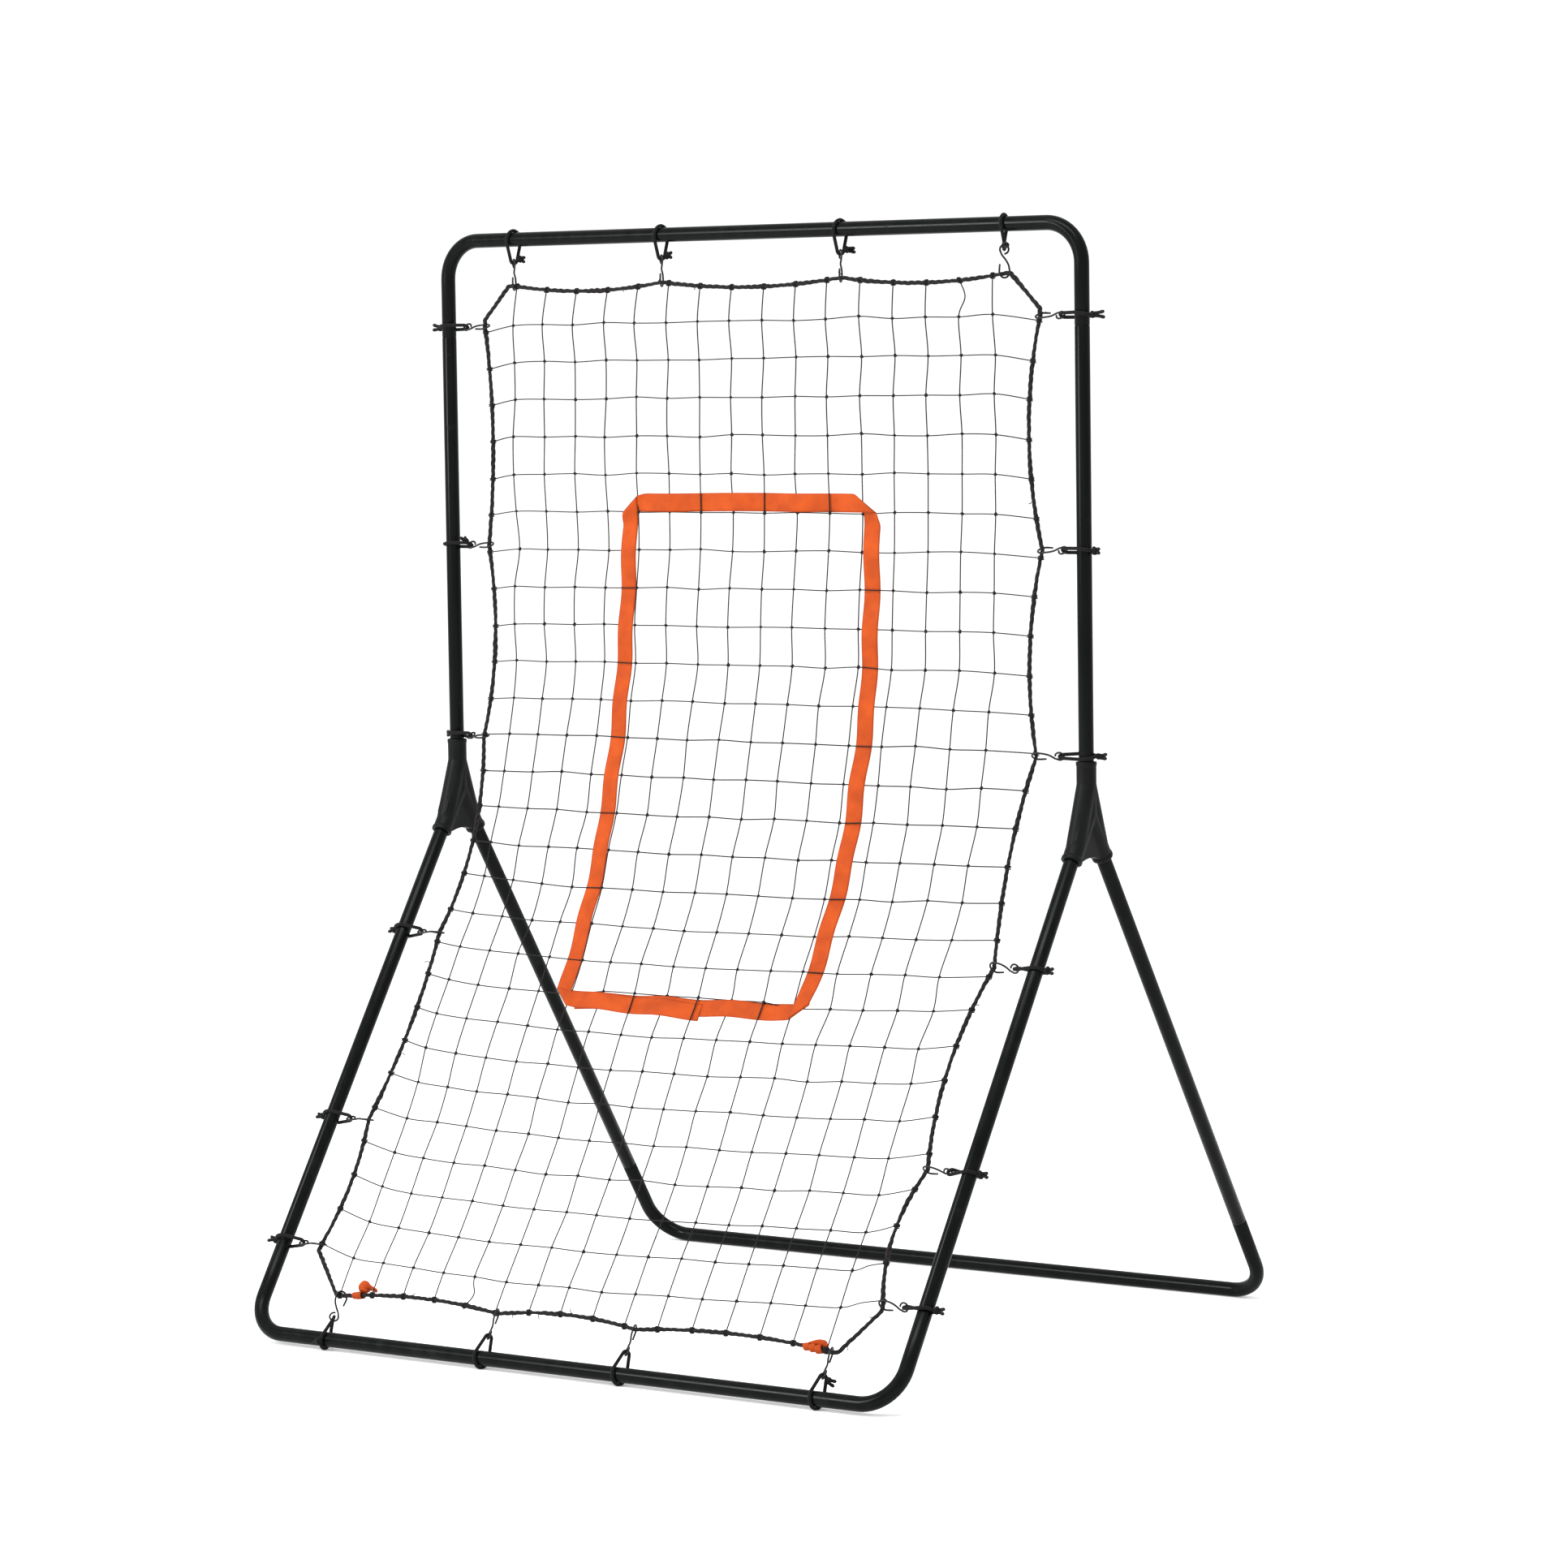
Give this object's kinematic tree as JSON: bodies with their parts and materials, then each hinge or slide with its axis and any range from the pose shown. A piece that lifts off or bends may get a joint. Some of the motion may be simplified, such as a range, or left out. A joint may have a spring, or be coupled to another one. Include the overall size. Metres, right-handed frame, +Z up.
{
  "type": "pitch-back rebound net",
  "caption": "Free-standing rebound net: a bent tube frame on two pairs of legs holds a square-mesh net with an orange target on elastic loops and S-hooks.",
  "frame": {"origin": "on the floor, in the middle of the overall width and depth", "axes": "+Z up, +X to the right as the player sees the net, -Y towards the player"},
  "size_m": [1.0246, 0.9302, 1.4242],
  "materials": {
    "frame_paint": "gloss",
    "connector_plastic": "satin",
    "elastic_cord": "matte",
    "hook_wire": "satin",
    "border_rope": "matte",
    "net_twine": "matte",
    "orange_webbing": "matte"
  },
  "bodies": {
    "frame": {"u_tube_top": "frame_paint", "u_tube_front": "frame_paint", "u_tube_rear": "frame_paint", "upright_left": "frame_paint", "front_leg_left": "frame_paint", "rear_leg_left": "frame_paint", "upright_right": "frame_paint", "front_leg_right": "frame_paint", "rear_leg_right": "frame_paint", "y_connector_left": "connector_plastic", "y_connector_right": "connector_plastic", "elastic_loop_01": "elastic_cord", "elastic_loop_02": "elastic_cord", "elastic_loop_03": "elastic_cord", "elastic_loop_04": "elastic_cord", "elastic_loop_05": "elastic_cord", "elastic_loop_06": "elastic_cord", "elastic_loop_07": "elastic_cord", "elastic_loop_08": "elastic_cord", "elastic_loop_09": "elastic_cord", "elastic_loop_10": "elastic_cord", "elastic_loop_11": "elastic_cord", "elastic_loop_12": "elastic_cord", "elastic_loop_13": "elastic_cord", "elastic_loop_14": "elastic_cord", "elastic_loop_15": "elastic_cord", "elastic_loop_16": "elastic_cord", "elastic_loop_17": "elastic_cord", "elastic_loop_18": "elastic_cord", "elastic_loop_19": "elastic_cord", "elastic_loop_20": "elastic_cord"},
    "net": {"net": "net_twine", "border_rope": "border_rope", "strike_zone_strap": "orange_webbing", "ribbon_tag_left": "orange_webbing", "ribbon_tag_right": "orange_webbing"},
    "hook_01": {"s_hook_01": "hook_wire"},
    "hook_02": {"s_hook_02": "hook_wire"},
    "hook_03": {"s_hook_03": "hook_wire"},
    "hook_04": {"s_hook_04": "hook_wire"},
    "hook_05": {"s_hook_05": "hook_wire"},
    "hook_06": {"s_hook_06": "hook_wire"},
    "hook_07": {"s_hook_07": "hook_wire"},
    "hook_08": {"s_hook_08": "hook_wire"},
    "hook_09": {"s_hook_09": "hook_wire"},
    "hook_10": {"s_hook_10": "hook_wire"},
    "hook_11": {"s_hook_11": "hook_wire"},
    "hook_12": {"s_hook_12": "hook_wire"},
    "hook_13": {"s_hook_13": "hook_wire"},
    "hook_14": {"s_hook_14": "hook_wire"},
    "hook_15": {"s_hook_15": "hook_wire"},
    "hook_16": {"s_hook_16": "hook_wire"},
    "hook_17": {"s_hook_17": "hook_wire"},
    "hook_18": {"s_hook_18": "hook_wire"},
    "hook_19": {"s_hook_19": "hook_wire"},
    "hook_20": {"s_hook_20": "hook_wire"}
  },
  "joints": [
    {"name": "net_rebound", "type": "slide", "parent": "frame", "child": "net", "axis": [0, 0.9508, -0.3099], "range_m": [-0.02, 0.02], "stiffness_N_per_m": 3000, "deforming": ["elastic_loop_01", "elastic_loop_02", "elastic_loop_03", "elastic_loop_04", "elastic_loop_05", "elastic_loop_06", "elastic_loop_07", "elastic_loop_08", "elastic_loop_09", "elastic_loop_10", "elastic_loop_11", "elastic_loop_12", "elastic_loop_13", "elastic_loop_14", "elastic_loop_15", "elastic_loop_16", "elastic_loop_17", "elastic_loop_18", "elastic_loop_19", "elastic_loop_20"]},
    {"name": "hook_01_swing", "type": "hinge", "parent": "net", "child": "hook_01", "pos_m": [-0.382, 0.00842, 1.34887], "axis": [1, 0, 0], "range_deg": [-18, 25]},
    {"name": "hook_02_swing", "type": "hinge", "parent": "net", "child": "hook_02", "pos_m": [-0.142, 0.00842, 1.34887], "axis": [1, 0, 0], "range_deg": [-18, 25]},
    {"name": "hook_03_swing", "type": "hinge", "parent": "net", "child": "hook_03", "pos_m": [0.137, 0.00842, 1.34887], "axis": [1, 0, 0], "range_deg": [-18, 25]},
    {"name": "hook_04_swing", "type": "hinge", "parent": "net", "child": "hook_04", "pos_m": [0.381, 0.00842, 1.34887], "axis": [1, 0, 0], "range_deg": [-18, 25]},
    {"name": "hook_05_swing", "type": "hinge", "parent": "net", "child": "hook_05", "pos_m": [-0.432, 0.00842, 1.29587], "axis": [0, 0.3099, 0.9508], "range_deg": [-18, 25]},
    {"name": "hook_06_swing", "type": "hinge", "parent": "net", "child": "hook_06", "pos_m": [-0.432, 0.00842, 1.00587], "axis": [0, 0.3099, 0.9508], "range_deg": [-18, 25]},
    {"name": "hook_07_swing", "type": "hinge", "parent": "net", "child": "hook_07", "pos_m": [-0.432, -0.01072, 0.75077], "axis": [0.103, 0.3082, 0.9457], "range_deg": [-18, 25]},
    {"name": "hook_08_swing", "type": "hinge", "parent": "net", "child": "hook_08", "pos_m": [-0.432, -0.11485, 0.49785], "axis": [0, 0.3099, 0.9508], "range_deg": [-18, 25]},
    {"name": "hook_09_swing", "type": "hinge", "parent": "net", "child": "hook_09", "pos_m": [-0.432, -0.27133, 0.26808], "axis": [0, 0.3099, 0.9508], "range_deg": [-18, 25]},
    {"name": "hook_10_swing", "type": "hinge", "parent": "net", "child": "hook_10", "pos_m": [-0.432, -0.37265, 0.1193], "axis": [0, 0.3099, 0.9508], "range_deg": [-18, 25]},
    {"name": "hook_11_swing", "type": "hinge", "parent": "net", "child": "hook_11", "pos_m": [0.432, 0.00842, 1.29587], "axis": [0, -0.3099, -0.9508], "range_deg": [-18, 25]},
    {"name": "hook_12_swing", "type": "hinge", "parent": "net", "child": "hook_12", "pos_m": [0.432, 0.00842, 1.00587], "axis": [0, -0.3099, -0.9508], "range_deg": [-18, 25]},
    {"name": "hook_13_swing", "type": "hinge", "parent": "net", "child": "hook_13", "pos_m": [0.432, -0.01072, 0.75077], "axis": [0.103, -0.3082, -0.9457], "range_deg": [-18, 25]},
    {"name": "hook_14_swing", "type": "hinge", "parent": "net", "child": "hook_14", "pos_m": [0.432, -0.11485, 0.49785], "axis": [0, -0.3099, -0.9508], "range_deg": [-18, 25]},
    {"name": "hook_15_swing", "type": "hinge", "parent": "net", "child": "hook_15", "pos_m": [0.432, -0.27133, 0.26808], "axis": [0, -0.3099, -0.9508], "range_deg": [-18, 25]},
    {"name": "hook_16_swing", "type": "hinge", "parent": "net", "child": "hook_16", "pos_m": [0.432, -0.37265, 0.1193], "axis": [0, -0.3099, -0.9508], "range_deg": [-18, 25]},
    {"name": "hook_17_swing", "type": "hinge", "parent": "net", "child": "hook_17", "pos_m": [-0.369, -0.41036, 0.06392], "axis": [-1, 0, 0], "range_deg": [-18, 25]},
    {"name": "hook_18_swing", "type": "hinge", "parent": "net", "child": "hook_18", "pos_m": [-0.12, -0.41036, 0.06392], "axis": [-1, 0, 0], "range_deg": [-18, 25]},
    {"name": "hook_19_swing", "type": "hinge", "parent": "net", "child": "hook_19", "pos_m": [0.092, -0.41036, 0.06392], "axis": [-1, 0, 0], "range_deg": [-18, 25]},
    {"name": "hook_20_swing", "type": "hinge", "parent": "net", "child": "hook_20", "pos_m": [0.382, -0.41036, 0.06392], "axis": [-1, 0, 0], "range_deg": [-18, 25]}
  ],
  "couplings": [
    {"joint": "hook_01_swing", "follows": "net_rebound", "rad_per_m": 13.2},
    {"joint": "hook_02_swing", "follows": "net_rebound", "rad_per_m": 13.2},
    {"joint": "hook_03_swing", "follows": "net_rebound", "rad_per_m": 13.2},
    {"joint": "hook_04_swing", "follows": "net_rebound", "rad_per_m": 13.2},
    {"joint": "hook_05_swing", "follows": "net_rebound", "rad_per_m": 13.2},
    {"joint": "hook_06_swing", "follows": "net_rebound", "rad_per_m": 13.2},
    {"joint": "hook_07_swing", "follows": "net_rebound", "rad_per_m": 13.2},
    {"joint": "hook_08_swing", "follows": "net_rebound", "rad_per_m": 13.2},
    {"joint": "hook_09_swing", "follows": "net_rebound", "rad_per_m": 13.2},
    {"joint": "hook_10_swing", "follows": "net_rebound", "rad_per_m": 13.2},
    {"joint": "hook_11_swing", "follows": "net_rebound", "rad_per_m": 13.2},
    {"joint": "hook_12_swing", "follows": "net_rebound", "rad_per_m": 13.2},
    {"joint": "hook_13_swing", "follows": "net_rebound", "rad_per_m": 13.2},
    {"joint": "hook_14_swing", "follows": "net_rebound", "rad_per_m": 13.2},
    {"joint": "hook_15_swing", "follows": "net_rebound", "rad_per_m": 13.2},
    {"joint": "hook_16_swing", "follows": "net_rebound", "rad_per_m": 13.2},
    {"joint": "hook_17_swing", "follows": "net_rebound", "rad_per_m": 13.2},
    {"joint": "hook_18_swing", "follows": "net_rebound", "rad_per_m": 13.2},
    {"joint": "hook_19_swing", "follows": "net_rebound", "rad_per_m": 13.2},
    {"joint": "hook_20_swing", "follows": "net_rebound", "rad_per_m": 13.2}
  ]
}
